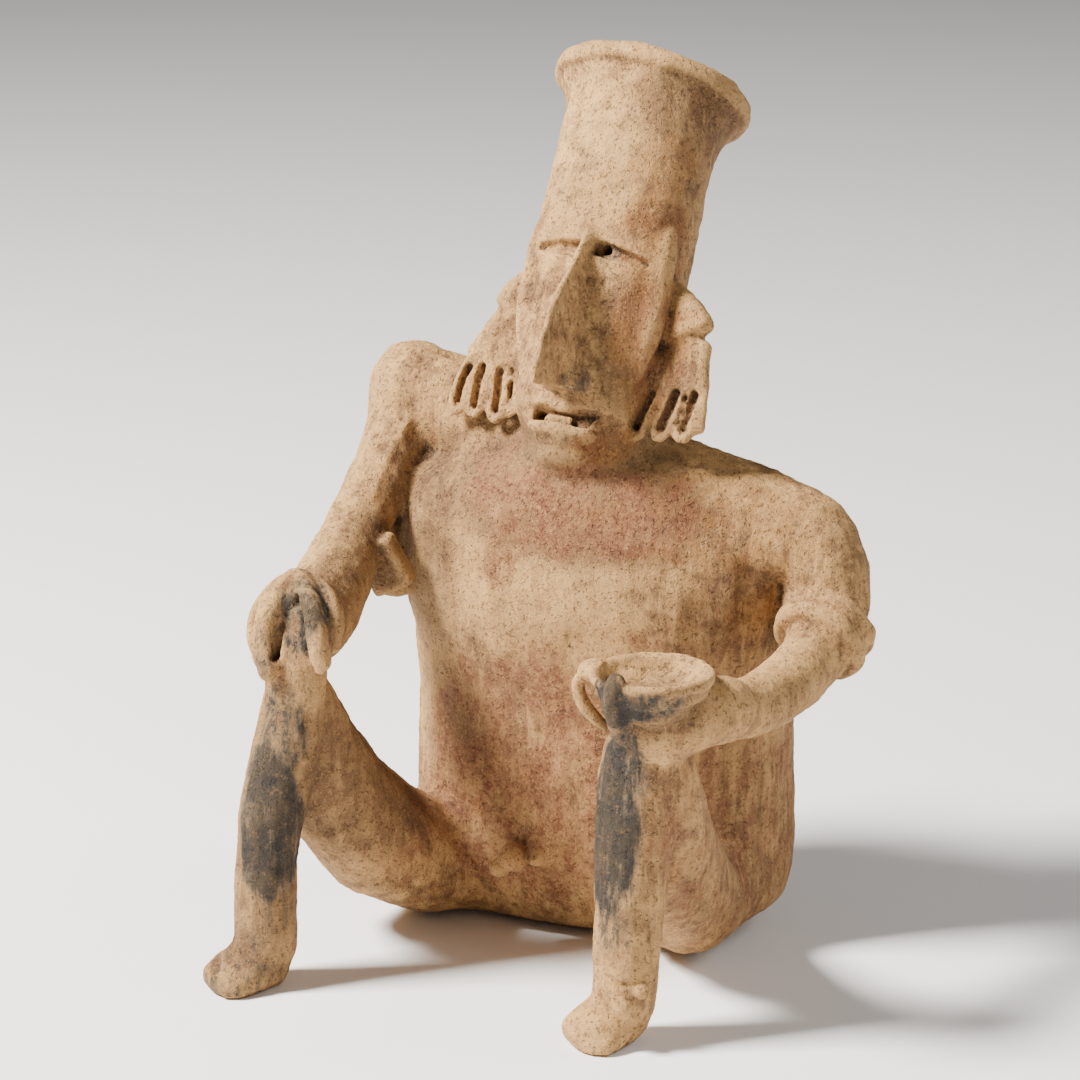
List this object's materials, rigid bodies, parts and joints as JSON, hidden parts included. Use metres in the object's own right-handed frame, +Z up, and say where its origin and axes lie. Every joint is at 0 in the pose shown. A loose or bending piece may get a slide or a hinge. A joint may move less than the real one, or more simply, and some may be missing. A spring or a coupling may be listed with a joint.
{
  "type": "pottery seated figure",
  "caption": "Hollow fired clay figure seated with raised knees, a tall flaring headdress, tasselled ear pendants and a small bowl held on the left knee.",
  "frame": {"origin": "middle of the overall footprint, on the surface that the figure stands on", "axes": "+Z up; the figure faces -Y, with its own left arm, which holds the bowl, on the +X side"},
  "size_m": [0.237, 0.2388, 0.3698],
  "materials": {
    "fired_clay": "matte buff earthenware, lightly burnished, with worn red slip, ochre stains, fire clouds and soil specks"
  },
  "bodies": {
    "root": {"seated_figure": "fired_clay"}
  },
  "joints": []
}
